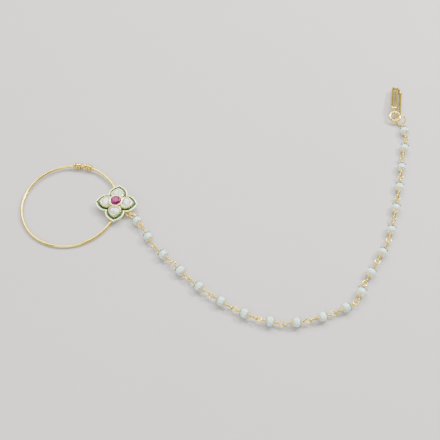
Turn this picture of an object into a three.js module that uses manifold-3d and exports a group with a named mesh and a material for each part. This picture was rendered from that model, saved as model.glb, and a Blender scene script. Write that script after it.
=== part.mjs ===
// Nath nose ring: an open wire hoop with a four-petal stone-set flower soldered over its wire,
// and a hair chain of 20 beads that runs from the flower to a bent wire hair hook.
// Millimetres, +Z up. The jewel lies on a flat surface at Z = 0, as it would by itself.
import * as THREE from 'three';
import { mergeVertices } from 'three/addons/utils/BufferGeometryUtils.js';
import Module from 'manifold-3d';

const wasm = await Module();
wasm.setup();

// Hoop: the wire ring that passes through the nose, with a gap between two wound ends
const HOOP_RADIUS = 20;
const HOOP_WIRE_D = 1.2;
const HOOP_END_GAP = 0.7;
const HOOP_END_ANGLE = 79.5;
const HOOP_STEPS = 52;
const HOOP_SIDES = 8;

// The wound ends: each end of the wire is drawn thinner and wound back round the hoop
const COIL_WIRE_D = 1.1;
const COIL_TURNS = 2.4;
const COIL_PITCH = 1.18;
const COIL_GRIP = 0.2;
const COIL_STEPS_PER_TURN = 8;

// Flower: its place, where it sits on the hoop and its own turn, the outline of one petal, then
// the walls that hold enamel and stones
const FLOWER_X = -43.4;
const FLOWER_Y = 6.6;
const FLOWER_ANGLE = -1;
const FLOWER_TURN = -4;
const PETALS = 4;
const PETAL_REACH = 9.1;
const PETAL_HALF_WIDTH = 4.15;
const NOTCH_RADIUS = 5.4;
const TIP_MITRE = 1.25;
const NOTCH_MITRE = 1.3;
const SOLDER_DEPTH = 0.15;
const CUP_FLOOR = 0.6;
const RIM_HEIGHT = 1.5;
const RIM_WALL = 0.42;
const ENAMEL_WIDTH = 0.78;
const ENAMEL_BELOW_RIM = 0.25;
const COLLAR_HEIGHT = 2.0;
const COLLAR_SLOPE = 0.14;
const SEAT_GAP = 0.08;

// Stones: the gold left between a petal stone and the petal's tip, its side and the bezel, then
// how far the stones stand out of their seats
const STONE_TO_TIP = 3.2;
const STONE_TO_SIDE = 2.15;
const STONE_TO_BEZEL = 0.17;
const PETAL_STONE_PROUD = 0.3;
const PETAL_TABLE_SHARE = 0.55;
const CENTRE_STONE_D = 4.4;
const CENTRE_STONE_PROUD = 0.55;
const CENTRE_TABLE_SHARE = 0.55;
const CENTRE_FACETS = 16;
const BEZEL_WALL = 0.5;
const BEZEL_HEIGHT = 3.5;
const BEZEL_SEAT = 1.8;

// Beads and the wire link that carries each one
const BEAD_D = 3.7;
const BEAD_BORE_D = 0.9;
const BEAD_SIDES = 10;
const BEAD_BANDS = 4;
const LINK_WIRE_D = 0.5;
const LOOP_D = 2.5;
const LINK_GAP = 0.2;
const NECK_D = 1.0;
const CAP_GAP = 0.22;
const CAP_THICK = 0.2;
const CAP_REACH_ANGLE = 49;
const CAP_NOTCH_ANGLE = 36;
const CAP_PETALS = 5;
const LOOP_STEPS = 10;
const LINK_SIDES = 5;
const JOINT_RISE = 0.25;

// Rings at the two ends of the chain
const EYE_WIRE_D = 0.5;
const EYE_D = 2.3;
const EYE_TAIL = 3.0;
const SMALL_RING_WIRE_D = 0.5;
const SMALL_RING_D = 2.7;
const SMALL_RING_TURN = -12;
const SMALL_RING_GAP = 0.24;
const BIG_RING_WIRE_D = 0.76;
const BIG_RING_D = 5.4;
const BIG_RING_LEAN = 60;
const BIG_RING_TURN = -48;
const BIG_RING_GAP = 0.44;
const RING_STEPS = 14;
const RING_SIDES = 6;

// Hair hook: one doubled wire, folded over at its far end and joined to an eye
const HOOK_WIRE_D = 1.2;
const HOOK_EYE_D = 5.8;
const HOOK_EYE_TILT = 9;
const HOOK_EYE_CLEAR = 0.66;
const HOOK_EYE_INSET = 0.2;
const HOOK_LENGTH = 17.2;
const HOOK_PAIR_PITCH = 1.75;
const HOOK_FOLD_GAP = 0.65;
const HOOK_FOLD_SHIFT = 2.4;
const HOOK_TIP = 4.4;
const HOOK_TURN = 78.2;
const BEND_STEPS = 6;

// Route of the chain on the surface, chosen point by point: where neighbouring loops interlock,
// and how each of the two loops is rolled about its own link (0 lies flat, 90 stands on edge).
// Columns: x, y, roll of the loop before the joint, roll of the loop after it
const chainRoute = [
  [-36.5, 1.5, 0, 0],
  [-32.2, -4.5, -20, 60],
  [-26.4, -13.8, -30, 82],
  [-19.1, -21.1, -62, 20],
  [-12.2, -28.1, -30, 80],
  [-4.1, -35.0, -20, 70],
  [4.7, -40.6, -80, 10],
  [13.8, -45.1, -85, 0],
  [23.8, -47.1, 32, 122],
  [33.9, -45.8, 12, 102],
  [43.7, -42.6, 5, 95],
  [52.5, -38.2, 0, 95],
  [56.7, -29.5, 15, 105],
  [62.1, -21.3, 80, 5],
  [68.3, -11.4, 80, 0],
  [72.1, -0.4, -40, 70],
  [75.3, 10.1, -30, 60],
  [78.2, 21.1, -40, 50],
  [80.4, 31.2, 40, 110],
  [83.9, 42.2, -50, 50],
  [83.5, 51.1, 42, 0],
];

const looks = {
  gold: { color: 0xd8b45a, roughness: 0.3, metalness: 1 },
  enamel: { color: 0x0f5a2c, roughness: 0.25, metalness: 0 },
  clearStone: { color: 0xe8ece6, roughness: 0.1, metalness: 0 },
  ruby: { color: 0xb01468, roughness: 0.1, metalness: 0 },
  bead: { color: 0xdcebe4, roughness: 0.35, metalness: 0 },
};

// A closed geometry as a solid that can be joined and cut
function solid(geometry) {
  const bare = geometry.clone();
  bare.deleteAttribute('normal');
  bare.deleteAttribute('uv');
  const merged = mergeVertices(bare, 1e-4);
  const faces = [];
  for (let i = 0; i < merged.index.count; i += 3) {
    const [a, b, c] = [0, 1, 2].map((k) => merged.index.getX(i + k));
    if (a !== b && b !== c && c !== a) {
      faces.push(a, b, c);
    }
  }
  return new wasm.Manifold(new wasm.Mesh({
    numProp: 3,
    vertProperties: new Float32Array(merged.attributes.position.array),
    triVerts: new Uint32Array(faces),
  }));
}

// A solid as a geometry again
function geometryOf(body) {
  const mesh = body.getMesh();
  const geometry = new THREE.BufferGeometry();
  geometry.setAttribute('position', new THREE.BufferAttribute(new Float32Array(mesh.vertProperties), 3));
  geometry.setIndex(new THREE.BufferAttribute(new Uint32Array(mesh.triVerts), 1));
  geometry.computeVertexNormals();
  return geometry;
}

function joined(geometries) {
  return geometries.map(solid).reduce((all, one) => all.add(one));
}

function meshOf(name, geometry, look) {
  const mesh = new THREE.Mesh(geometry, new THREE.MeshStandardMaterial(look));
  mesh.name = name;
  return mesh;
}

// A bent wire's centre line: sections fall on the listed points themselves
class BentLine extends THREE.Curve {
  constructor(points) {
    super();
    this.points = points;
  }
  getPoint(t) {
    const place = t * (this.points.length - 1);
    const first = Math.min(Math.floor(place), this.points.length - 2);
    return this.points[first].clone().lerp(this.points[first + 1], place - first);
  }
  getUtoTmapping(u) {
    return u;
  }
}

function roundSection(radius, sides) {
  const points = [];
  for (let i = 0; i < sides; i++) {
    const angle = (i / sides) * 2 * Math.PI;
    points.push(new THREE.Vector2(radius * Math.cos(angle), radius * Math.sin(angle)));
  }
  return new THREE.Shape(points);
}

function wire(points, diameter, sides) {
  return new THREE.ExtrudeGeometry(roundSection(diameter / 2, sides), {
    steps: points.length - 1,
    extrudePath: new BentLine(points),
  });
}

function ring(outerDiameter, wireDiameter, sides, steps) {
  return new THREE.TorusGeometry((outerDiameter - wireDiameter) / 2, wireDiameter / 2, sides, steps);
}

function plate(points, bottom, top, holes = []) {
  const shape = new THREE.Shape(points);
  shape.holes = holes.map((hole) => new THREE.Path(hole));
  const geometry = new THREE.ExtrudeGeometry(shape, { depth: top - bottom, bevelEnabled: false });
  return geometry.translate(0, 0, bottom);
}

const radians = THREE.MathUtils.degToRad;

// Frame of the hoop: it leans on its wound ends, which are thicker than its wire
const coilRadius = (HOOP_WIRE_D + COIL_WIRE_D) / 2 - COIL_GRIP;
const coilOuterRadius = coilRadius + COIL_WIRE_D / 2;
const hoopLean = Math.atan2(coilOuterRadius - HOOP_WIRE_D / 2, 2 * HOOP_RADIUS);
const hoopGroup = new THREE.Group();
const leanAxis = new THREE.Vector3(
  Math.cos(radians(HOOP_END_ANGLE - 90)), Math.sin(radians(HOOP_END_ANGLE - 90)), 0);
hoopGroup.setRotationFromAxisAngle(leanAxis, hoopLean);
hoopGroup.position.set(
  FLOWER_X - HOOP_RADIUS * Math.cos(radians(FLOWER_ANGLE)),
  FLOWER_Y - HOOP_RADIUS * Math.sin(radians(FLOWER_ANGLE)),
  HOOP_WIRE_D / 2 + HOOP_RADIUS * Math.sin(hoopLean));

function hoopPoint(angle, offset = 0, height = 0) {
  const reach = HOOP_RADIUS + offset;
  return new THREE.Vector3(reach * Math.cos(angle), reach * Math.sin(angle), height);
}

// The hoop's wire, from one side of the gap round to the other
function hoopWire() {
  const halfGap = HOOP_END_GAP / 2 / HOOP_RADIUS;
  const start = radians(HOOP_END_ANGLE) + halfGap;
  const sweep = 2 * Math.PI - 2 * halfGap;
  const points = [];
  for (let i = 0; i <= HOOP_STEPS; i++) {
    points.push(hoopPoint(start + (sweep * i) / HOOP_STEPS));
  }
  return wire(points, HOOP_WIRE_D, HOOP_SIDES);
}

// One wound end: the drawn-down wire turns round the hoop, away from the gap
function woundEnd(side) {
  const first = HOOP_END_GAP / 2 + COIL_WIRE_D / 2;
  const steps = Math.round(COIL_TURNS * COIL_STEPS_PER_TURN);
  const points = [];
  for (let i = 0; i <= steps; i++) {
    const turn = i / COIL_STEPS_PER_TURN;
    const along = side * (first + turn * COIL_PITCH) / HOOP_RADIUS;
    const roll = side * (turn * 2 * Math.PI - Math.PI / 2);
    points.push(hoopPoint(
      radians(HOOP_END_ANGLE) + along, coilRadius * Math.cos(roll), coilRadius * Math.sin(roll)));
  }
  return wire(points, COIL_WIRE_D, LINK_SIDES);
}

// Frame of the flower: its flat back rests on the hoop's wire and is soldered to it
const flowerBack = HOOP_WIRE_D / 2 - SOLDER_DEPTH;
const flowerGroup = new THREE.Group();
flowerGroup.position.copy(hoopPoint(radians(FLOWER_ANGLE), 0, flowerBack));
flowerGroup.rotation.z = radians(FLOWER_TURN);
hoopGroup.add(flowerGroup);

// Half of one petal, from the notch to the tip: a full lobe, then a short hollow flick.
// Columns: share of the petal's reach, share of its half width
const lobeShares = [[0.58, 1.07], [0.8, 0.75], [0.9, 0.33]];
const flickShares = [[0.945, 0.08], [1, 0]];

// Outline of the whole flower, set inwards by a margin. A pointed tip and a notch move further
function petalOutline(margin) {
  const reach = PETAL_REACH - TIP_MITRE * margin;
  const place = ([x, y]) => new THREE.Vector2(x * reach, y * (PETAL_HALF_WIDTH - margin));
  const notch = new THREE.Vector2(1, 1).multiplyScalar((NOTCH_RADIUS - NOTCH_MITRE * margin) * Math.SQRT1_2);
  const lobe = new THREE.CubicBezierCurve(notch, ...lobeShares.map(place));
  const flick = new THREE.QuadraticBezierCurve(place(lobeShares[2]), ...flickShares.map(place));
  const half = [...lobe.getPoints(4), ...flick.getPoints(2).slice(1)];
  const petal = [...half.map((p) => new THREE.Vector2(p.x, -p.y)), ...half.slice(1, -1).reverse()];
  return aroundFlower(petal).flat();
}

// The same outline turned to each petal's place
function aroundFlower(outline) {
  return Array.from({ length: PETALS }, (_, i) => outline.map((p) => (
    p.clone().rotateAround(new THREE.Vector2(), (i / PETALS) * 2 * Math.PI))));
}

// Petal stones: where they start and end from the flower's centre, and half their width
const stoneInner = CENTRE_STONE_D / 2 + SEAT_GAP + BEZEL_WALL + STONE_TO_BEZEL;
const stoneOuter = PETAL_REACH - STONE_TO_TIP;
const stoneHalfWidth = PETAL_HALF_WIDTH - STONE_TO_SIDE;

// Outline of a petal stone: round at the flower's centre and pointed at the petal's tip
function dropOutline(margin) {
  const inner = stoneInner - margin;
  const outer = stoneOuter + 1.5 * margin;
  const half = stoneHalfWidth + margin;
  const length = outer - inner;
  const tip = new THREE.Vector2(outer, 0);
  const side = new THREE.Vector2(inner + 0.45 * length, half);
  const end = new THREE.Vector2(inner, 0);
  const front = new THREE.QuadraticBezierCurve(tip, new THREE.Vector2(outer - 0.22 * length, half), side);
  const back = new THREE.QuadraticBezierCurve(side, new THREE.Vector2(inner, half), end);
  const upper = [...front.getPoints(3), ...back.getPoints(3).slice(1)];
  return [...upper, ...upper.slice(1, -1).reverse().map((p) => new THREE.Vector2(p.x, -p.y))];
}

function collarTop(reach) {
  return COLLAR_HEIGHT + COLLAR_SLOPE * (PETAL_REACH - reach);
}

// The collar round the petal stones, which rises towards the flower's centre
function collar() {
  const holes = aroundFlower(dropOutline(SEAT_GAP));
  const block = plate(petalOutline(RIM_WALL + ENAMEL_WIDTH), CUP_FLOOR / 2, COLLAR_HEIGHT, holes);
  const place = block.attributes.position;
  for (let i = 0; i < place.count; i++) {
    if (place.getZ(i) > CUP_FLOOR) {
      place.setZ(i, collarTop(Math.hypot(place.getX(i), place.getY(i))));
    }
  }
  return block;
}

function bezel() {
  const inner = CENTRE_STONE_D / 2 + SEAT_GAP;
  const profile = [[0, CUP_FLOOR / 2], [inner + BEZEL_WALL, CUP_FLOOR / 2], [inner + BEZEL_WALL, BEZEL_HEIGHT],
    [inner, BEZEL_HEIGHT], [inner, BEZEL_SEAT], [0, BEZEL_SEAT]];
  return turned(profile, CENTRE_FACETS);
}

function bezelSeat() {
  const inner = CENTRE_STONE_D / 2 + SEAT_GAP;
  const above = 2 * BEZEL_HEIGHT;
  return turned([[0, BEZEL_SEAT], [inner, BEZEL_SEAT], [inner, above], [0, above]], CENTRE_FACETS);
}

// A lathe about +Z from a profile of [radius, height] that starts and ends on the axis
function turned(profile, sides) {
  const points = profile.map(([radius, height]) => new THREE.Vector2(radius, height));
  return new THREE.LatheGeometry(points, sides).rotateX(Math.PI / 2);
}

// Stones: a deep base, a girdle and a smaller table, with a facet from each girdle point
function loftedStone(rings) {
  const sides = rings[0].length;
  const flat = rings.flat();
  const faces = [];
  for (let r = 0; r + 1 < rings.length; r++) {
    for (let i = 0; i < sides; i++) {
      const next = (i + 1) % sides;
      const low = r * sides;
      const high = low + sides;
      faces.push(low + i, low + next, high + next, low + i, high + next, high + i);
    }
  }
  const top = (rings.length - 1) * sides;
  for (let i = 1; i + 1 < sides; i++) {
    faces.push(0, i + 1, i, top, top + i, top + i + 1);
  }
  const geometry = new THREE.BufferGeometry().setFromPoints(flat);
  geometry.setIndex(faces);
  geometry.computeVertexNormals();
  return geometry;
}

function ringAt(outline, centre, scale, height) {
  return outline.map((p) => {
    const q = p.clone().sub(centre).multiplyScalar(scale).add(centre);
    return new THREE.Vector3(q.x, q.y, height);
  });
}

function petalStone() {
  const outline = dropOutline(0);
  const centre = new THREE.Vector2((stoneInner + stoneOuter) / 2, 0);
  const girdle = collarTop(stoneOuter) - SEAT_GAP;
  const table = collarTop(centre.x) + PETAL_STONE_PROUD;
  return loftedStone([
    ringAt(outline, centre, PETAL_TABLE_SHARE, CUP_FLOOR + SEAT_GAP),
    ringAt(outline, centre, 1, girdle),
    ringAt(outline, centre, PETAL_TABLE_SHARE, table),
  ]);
}

function centreStone() {
  const outline = roundSection(CENTRE_STONE_D / 2, CENTRE_FACETS).getPoints().slice(0, CENTRE_FACETS);
  const centre = new THREE.Vector2();
  return loftedStone([
    ringAt(outline, centre, CENTRE_TABLE_SHARE, BEZEL_SEAT + SEAT_GAP),
    ringAt(outline, centre, 1, BEZEL_HEIGHT - 2 * SEAT_GAP),
    ringAt(outline, centre, CENTRE_TABLE_SHARE, BEZEL_HEIGHT + CENTRE_STONE_PROUD),
  ]);
}

function enamelBorder() {
  const outer = petalOutline(RIM_WALL + SEAT_GAP);
  const inner = petalOutline(RIM_WALL + ENAMEL_WIDTH - SEAT_GAP);
  return plate(outer, CUP_FLOOR + SEAT_GAP, RIM_HEIGHT - ENAMEL_BELOW_RIM, [inner]);
}

// Chain: joints in space. Low and high joints take turns, so every bead touches the surface
const beadRadius = BEAD_D / 2;
const joints = chainRoute.map(([x, y], i) => new THREE.Vector3(
  x, y, beadRadius + (i % 2 === 0 ? -JOINT_RISE : JOINT_RISE)));

// How far beyond the joint the centre line of an interlocked ring lies
function overreach(oneWire, otherWire, gap) {
  return ((oneWire + otherWire) / 2 + gap) / 2;
}

// A frame whose X axis points from one place to another and whose Z axis leans least from up
function frameAlong(from, to, roll = 0) {
  const x = to.clone().sub(from).normalize();
  const y = new THREE.Vector3(0, 0, 1).cross(x).normalize();
  const z = x.clone().cross(y);
  const turn = new THREE.Matrix4().makeRotationX(radians(roll));
  return new THREE.Matrix4().makeBasis(x, y, z).multiply(turn);
}

function bead() {
  const bore = BEAD_BORE_D / 2;
  const edge = Math.asin(bore / beadRadius);
  const profile = [];
  for (let i = 0; i <= BEAD_BANDS; i++) {
    const angle = edge + ((Math.PI - 2 * edge) * i) / BEAD_BANDS;
    profile.push(new THREE.Vector2(beadRadius * Math.sin(angle), -beadRadius * Math.cos(angle)));
  }
  profile.push(profile[0].clone());
  return new THREE.LatheGeometry(profile, BEAD_SIDES).rotateZ(-Math.PI / 2);
}

// One petalled cap on the +X side of the bead: a dished lathe whose rim is pulled back between petals
function beadCap() {
  const inner = beadRadius + CAP_GAP;
  const neckEnd = inner + 2 * CAP_THICK;
  const onArc = (degrees) => new THREE.Vector2(
    inner * Math.sin(radians(degrees)), inner * Math.cos(radians(degrees)));
  const profile = [new THREE.Vector2(0, inner), onArc(CAP_REACH_ANGLE / 2), onArc(CAP_REACH_ANGLE),
    new THREE.Vector2(NECK_D / 2, neckEnd), new THREE.Vector2(0, neckEnd)];
  const sides = 2 * CAP_PETALS;
  const cap = new THREE.LatheGeometry(profile, sides);
  const rim = onArc(CAP_NOTCH_ANGLE);
  for (let side = 1; side < sides; side += 2) {
    const turn = (side / sides) * 2 * Math.PI;
    cap.attributes.position.setXYZ(
      side * profile.length + 2, rim.x * Math.sin(turn), rim.y, rim.x * Math.cos(turn));
  }
  return cap.rotateZ(-Math.PI / 2);
}

// The wire link of one bead: a wire through the bead, a cap, a neck and a loop at each end
function beadLink(halfLength, start, end) {
  const loopRadius = (LOOP_D - LINK_WIRE_D) / 2;
  const parts = [];
  const line = [];
  [[-1, start], [1, end]].forEach(([side, { roll, beyond }]) => {
    const centre = halfLength + beyond - loopRadius;
    const loop = ring(LOOP_D, LINK_WIRE_D, LINK_SIDES, LOOP_STEPS);
    parts.push(loop.rotateZ(Math.PI / LOOP_STEPS).translate(side * centre, 0, 0).rotateX(radians(roll)));
    const cap = beadCap();
    parts.push(side > 0 ? cap : cap.rotateY(Math.PI));
    line.push(new THREE.Vector3(side * (centre - loopRadius), 0, 0));
  });
  parts.push(wire(line, LINK_WIRE_D, LINK_SIDES));
  return geometryOf(joined(parts));
}

// Rings beside the flower: an eye soldered to the cup, then a small ring standing on edge
const smallRingRadius = (SMALL_RING_D - SMALL_RING_WIRE_D) / 2;
const eyeRadius = (EYE_D - EYE_WIRE_D) / 2;
const smallToLoop = overreach(SMALL_RING_WIRE_D, LINK_WIRE_D, SMALL_RING_GAP);
const smallToEye = overreach(SMALL_RING_WIRE_D, EYE_WIRE_D, SMALL_RING_GAP);
const smallRingWay = new THREE.Vector3(
  Math.cos(radians(SMALL_RING_TURN)), Math.sin(radians(SMALL_RING_TURN)), 0);
const smallRingCentre = joints[0].clone().addScaledVector(smallRingWay, smallToLoop - smallRingRadius);
const eyeJoint = smallRingCentre.clone().addScaledVector(smallRingWay, smallToEye - smallRingRadius);

function smallRing() {
  const frame = frameAlong(eyeJoint, joints[0], 90).setPosition(smallRingCentre);
  return ring(SMALL_RING_D, SMALL_RING_WIRE_D, RING_SIDES, RING_STEPS).applyMatrix4(frame);
}

// The eye lies level and its tail runs under the flower, both soldered to the cup
function chainEye(flowerCentre) {
  const inward = flowerCentre.clone().setZ(eyeJoint.z);
  const frame = frameAlong(inward, eyeJoint);
  const outward = new THREE.Vector3().setFromMatrixColumn(frame, 0);
  const centre = eyeJoint.clone().addScaledVector(outward, smallToEye - eyeRadius);
  const loop = ring(EYE_D, EYE_WIRE_D, RING_SIDES, RING_STEPS);
  const tail = wire([new THREE.Vector3(-eyeRadius - EYE_TAIL, 0, 0), new THREE.Vector3(-eyeRadius, 0, 0)],
    EYE_WIRE_D, RING_SIDES);
  return [loop, tail].map((piece) => piece.applyMatrix4(frame.clone().setPosition(centre)));
}

function hoopAndSetting() {
  hoopGroup.updateMatrixWorld();
  const cup = [
    plate(petalOutline(0), 0, CUP_FLOOR),
    plate(petalOutline(0), CUP_FLOOR / 2, RIM_HEIGHT, [petalOutline(RIM_WALL)]),
    collar(),
    bezel(),
  ].map((piece) => piece.applyMatrix4(flowerGroup.matrix));
  const toHoop = hoopGroup.matrixWorld.clone().invert();
  const flowerCentre = new THREE.Vector3().setFromMatrixPosition(flowerGroup.matrixWorld);
  const eye = chainEye(flowerCentre).map((piece) => piece.applyMatrix4(toHoop));
  const seat = solid(bezelSeat().applyMatrix4(flowerGroup.matrix));
  const metal = joined([hoopWire(), woundEnd(-1), woundEnd(1), ...cup, ...eye]);
  return geometryOf(metal.subtract(seat));
}

// The big ring leans over the hook's eye, with its lowest point on the surface
const lean = radians(BIG_RING_LEAN);
const lastJoint = joints[joints.length - 1];
const bigRingRadius = (BIG_RING_D - BIG_RING_WIRE_D) / 2;
const bigRingHeight = BIG_RING_WIRE_D / 2 + bigRingRadius * Math.sin(lean);
const bigRingWay = new THREE.Vector3(Math.cos(radians(BIG_RING_TURN)), Math.sin(radians(BIG_RING_TURN)), 0);
const bigRingLeft = new THREE.Vector3(0, 0, 1).cross(bigRingWay);

// From the big ring's centre to a joint that sits lower on it, at one end or the other
function fromRingCentre(end, height, overlap) {
  const drop = (height - bigRingHeight) / Math.sin(lean);
  const along = Math.sqrt((bigRingRadius - overlap) ** 2 - drop ** 2);
  return new THREE.Vector3(0, 0, height - bigRingHeight)
    .addScaledVector(bigRingWay, end * along)
    .addScaledVector(bigRingLeft, drop * Math.cos(lean));
}

const bigToLoop = overreach(BIG_RING_WIRE_D, LINK_WIRE_D, BIG_RING_GAP);
const bigToHook = overreach(BIG_RING_WIRE_D, HOOK_WIRE_D, BIG_RING_GAP);
const bigRingCentre = lastJoint.clone().sub(fromRingCentre(1, lastJoint.z, bigToLoop));

function bigRing() {
  const frame = frameAlong(new THREE.Vector3(), bigRingWay, BIG_RING_LEAN).setPosition(bigRingCentre);
  return ring(BIG_RING_D, BIG_RING_WIRE_D, RING_SIDES, RING_STEPS).applyMatrix4(frame);
}

// Hair hook: its frame sits at the centre of its eye, X towards the far end. The tilted eye rides
// up on the big ring's wire, and the far end comes down to the surface
const hookEyeRadius = (HOOK_EYE_D - HOOK_WIRE_D) / 2;
const hookJointHeight = BIG_RING_WIRE_D + HOOK_EYE_CLEAR + HOOK_WIRE_D / 2;
const foldRise = HOOK_WIRE_D + HOOK_FOLD_GAP;
const hookGroup = new THREE.Group();
hookGroup.position.copy(bigRingCentre)
  .add(fromRingCentre(-1, hookJointHeight, bigToHook))
  .addScaledVector(bigRingWay, bigToHook - hookEyeRadius);
hookGroup.position.z -= hookEyeRadius * Math.sin(radians(HOOK_EYE_TILT))
  * Math.cos(radians(BIG_RING_TURN - HOOK_TURN));
const hookPitch = Math.asin((hookGroup.position.z - HOOK_WIRE_D / 2) / HOOK_LENGTH);
hookGroup.rotation.set(0, hookPitch, radians(HOOK_TURN), 'ZYX');
const eyeTurn = -radians(HOOK_EYE_TILT) - hookPitch;

// Where the hook's wire meets its eye, at a distance to the left of the eye's middle
function onEye(y) {
  const reach = Math.sqrt(hookEyeRadius ** 2 - y ** 2);
  return new THREE.Vector3(reach, y, 0).applyAxisAngle(new THREE.Vector3(0, 1, 0), eyeTurn);
}

// The wire turns over at the far end: from the back at share 0 to the front at share 1
function hookFold(y, shares) {
  return shares.map((share) => new THREE.Vector3(
    HOOK_LENGTH + (foldRise / 2) * Math.sin(share * Math.PI),
    y + HOOK_FOLD_SHIFT * share,
    (foldRise / 2) * (1 - Math.cos(share * Math.PI))));
}

// The doubled wire: up the back, over the fold, down the front, round the tip and back again
function hookWire() {
  const shares = Array.from({ length: BEND_STEPS + 1 }, (_, i) => i / BEND_STEPS);
  const right = HOOK_EYE_INSET - hookEyeRadius;
  const left = right + HOOK_PAIR_PITCH;
  const tipMiddle = (right + left) / 2 + HOOK_FOLD_SHIFT;
  const tip = shares.map((share) => new THREE.Vector3(
    HOOK_TIP - (HOOK_PAIR_PITCH / 2) * Math.sin(share * Math.PI),
    tipMiddle - (HOOK_PAIR_PITCH / 2) * Math.cos(share * Math.PI),
    foldRise));
  const points = [onEye(right), ...hookFold(right, shares), ...tip, ...hookFold(left, shares.reverse()),
    onEye(left)];
  return wire(points, HOOK_WIRE_D, RING_SIDES);
}

function hairHook() {
  const eye = ring(HOOK_EYE_D, HOOK_WIRE_D, RING_SIDES, RING_STEPS).rotateY(eyeTurn);
  return geometryOf(joined([eye, hookWire()]));
}

// One bead on its link, between two joints of the chain
function chainUnit(number) {
  const label = String(number).padStart(2, '0');
  const [from, to] = [joints[number - 1], joints[number]];
  const unit = new THREE.Group();
  unit.quaternion.setFromRotationMatrix(frameAlong(from, to));
  unit.position.copy(from).lerp(to, 0.5);
  const loopToLoop = overreach(LINK_WIRE_D, LINK_WIRE_D, LINK_GAP);
  const start = { roll: chainRoute[number - 1][3], beyond: number === 1 ? smallToLoop : loopToLoop };
  const end = { roll: chainRoute[number][2], beyond: to === lastJoint ? bigToLoop : loopToLoop };
  const link = beadLink(from.distanceTo(to) / 2, start, end);
  unit.add(meshOf(`bead_${label}`, bead(), looks.bead));
  unit.add(meshOf(`bead_link_${label}`, link, looks.gold));
  return unit;
}

// Assembly
const layout = new THREE.Group();
hoopGroup.add(meshOf('hoop_and_setting', hoopAndSetting(), looks.gold));
flowerGroup.add(meshOf('enamel_border', enamelBorder(), looks.enamel));
for (let i = 0; i < PETALS; i++) {
  const stone = meshOf(`petal_stone_${i + 1}`, petalStone(), looks.clearStone);
  stone.rotation.z = (i / PETALS) * 2 * Math.PI;
  flowerGroup.add(stone);
}
flowerGroup.add(meshOf('centre_stone', centreStone(), looks.ruby));
hookGroup.add(meshOf('hair_hook', hairHook(), looks.gold));
layout.add(hoopGroup, hookGroup);
layout.add(meshOf('flower_jump_ring', smallRing(), looks.gold));
layout.add(meshOf('hook_jump_ring', bigRing(), looks.gold));
for (let number = 1; number < joints.length; number++) {
  layout.add(chainUnit(number));
}

// The origin is below the middle of the jewel, on the surface that it lies on
const box = new THREE.Box3().setFromObject(layout, true);
const middle = box.getCenter(new THREE.Vector3());
layout.position.set(-middle.x, -middle.y, -box.min.z);

export default layout;
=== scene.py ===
"""Looks of a nath nose ring with its hair chain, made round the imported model. Lengths are in metres."""

import math
import random

import bmesh
import bpy
from bpy.props import FloatProperty, FloatVectorProperty, IntProperty, PointerProperty
from mathutils import Matrix, Vector, noise


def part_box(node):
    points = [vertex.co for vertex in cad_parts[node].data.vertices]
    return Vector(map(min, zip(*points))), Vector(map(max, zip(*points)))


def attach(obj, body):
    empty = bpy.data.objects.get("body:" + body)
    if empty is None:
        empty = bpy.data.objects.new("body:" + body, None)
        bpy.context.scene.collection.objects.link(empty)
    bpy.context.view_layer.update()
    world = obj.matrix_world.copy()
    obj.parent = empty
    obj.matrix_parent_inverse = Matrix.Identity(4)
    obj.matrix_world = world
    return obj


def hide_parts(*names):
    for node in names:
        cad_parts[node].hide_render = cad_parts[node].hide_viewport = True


bl_info = {
    "name": "Nath Nose Ring",
    "version": (1, 0, 0),
    "blender": (4, 5, 0),
    "location": "3D Viewport > Sidebar > Nath",
    "description": "Makes a stone-set nose ring with a beaded hair chain round its packed model",
    "category": "Add Mesh",
}

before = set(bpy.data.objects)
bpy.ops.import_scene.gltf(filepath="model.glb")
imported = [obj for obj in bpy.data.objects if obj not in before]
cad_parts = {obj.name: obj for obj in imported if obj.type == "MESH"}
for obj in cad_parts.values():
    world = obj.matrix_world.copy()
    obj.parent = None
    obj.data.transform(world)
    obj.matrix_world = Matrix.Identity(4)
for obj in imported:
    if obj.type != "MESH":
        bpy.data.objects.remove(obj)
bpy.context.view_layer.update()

MM = 0.001
BODY = "root"
PETALS = 4
BEADS = 20
# Name of the painted light that each facet of a stone carries
FACET_LIGHT = "facet_light"
SETTING_NODES = ["hoop_and_setting"]

# Route of the chain, chosen point by point: where neighbouring loops interlock, and how each of the
# two loops is rolled about its own link. Columns: x mm, y mm, roll before the joint, roll after it
CHAIN_ROUTE = (
    (-36.5, 1.5, 0, 0),
    (-32.2, -4.5, -20, 60),
    (-26.4, -13.8, -30, 82),
    (-19.1, -21.1, -62, 20),
    (-12.2, -28.1, -30, 80),
    (-4.1, -35.0, -20, 70),
    (4.7, -40.6, -80, 10),
    (13.8, -45.1, -85, 0),
    (23.8, -47.1, 32, 122),
    (33.9, -45.8, 12, 102),
    (43.7, -42.6, 5, 95),
    (52.5, -38.2, 0, 95),
    (56.7, -29.5, 15, 105),
    (62.1, -21.3, 80, 5),
    (68.3, -11.4, 80, 0),
    (72.1, -0.4, -40, 70),
    (75.3, 10.1, -30, 60),
    (78.2, 21.1, -40, 50),
    (80.4, 31.2, 40, 110),
    (83.9, 42.2, -50, 50),
    (83.5, 51.1, 42, 0),
)

# Half of one petal from notch to tip: a full lobe, then a short hollow flick.
# Columns: share of the petal's reach, share of its half width
LOBE_SHARES = ((0.58, 1.07), (0.8, 0.75), (0.9, 0.33))
FLICK_SHARES = ((0.945, 0.08), (1.0, 0.0))


def size(name, millimetres, about):
    """A length that the user can change, kept in metres."""
    return FloatProperty(name=name, description=about, default=millimetres * MM, precision=5, unit="LENGTH")


def turn(name, degrees, about):
    """An angle that the user can change."""
    return FloatProperty(name=name, description=about, default=math.radians(degrees), unit="ROTATION")


def share(name, value, about):
    """A share or a number of turns that the user can change."""
    return FloatProperty(name=name, description=about, default=value, min=0.0, subtype="UNSIGNED")


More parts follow.
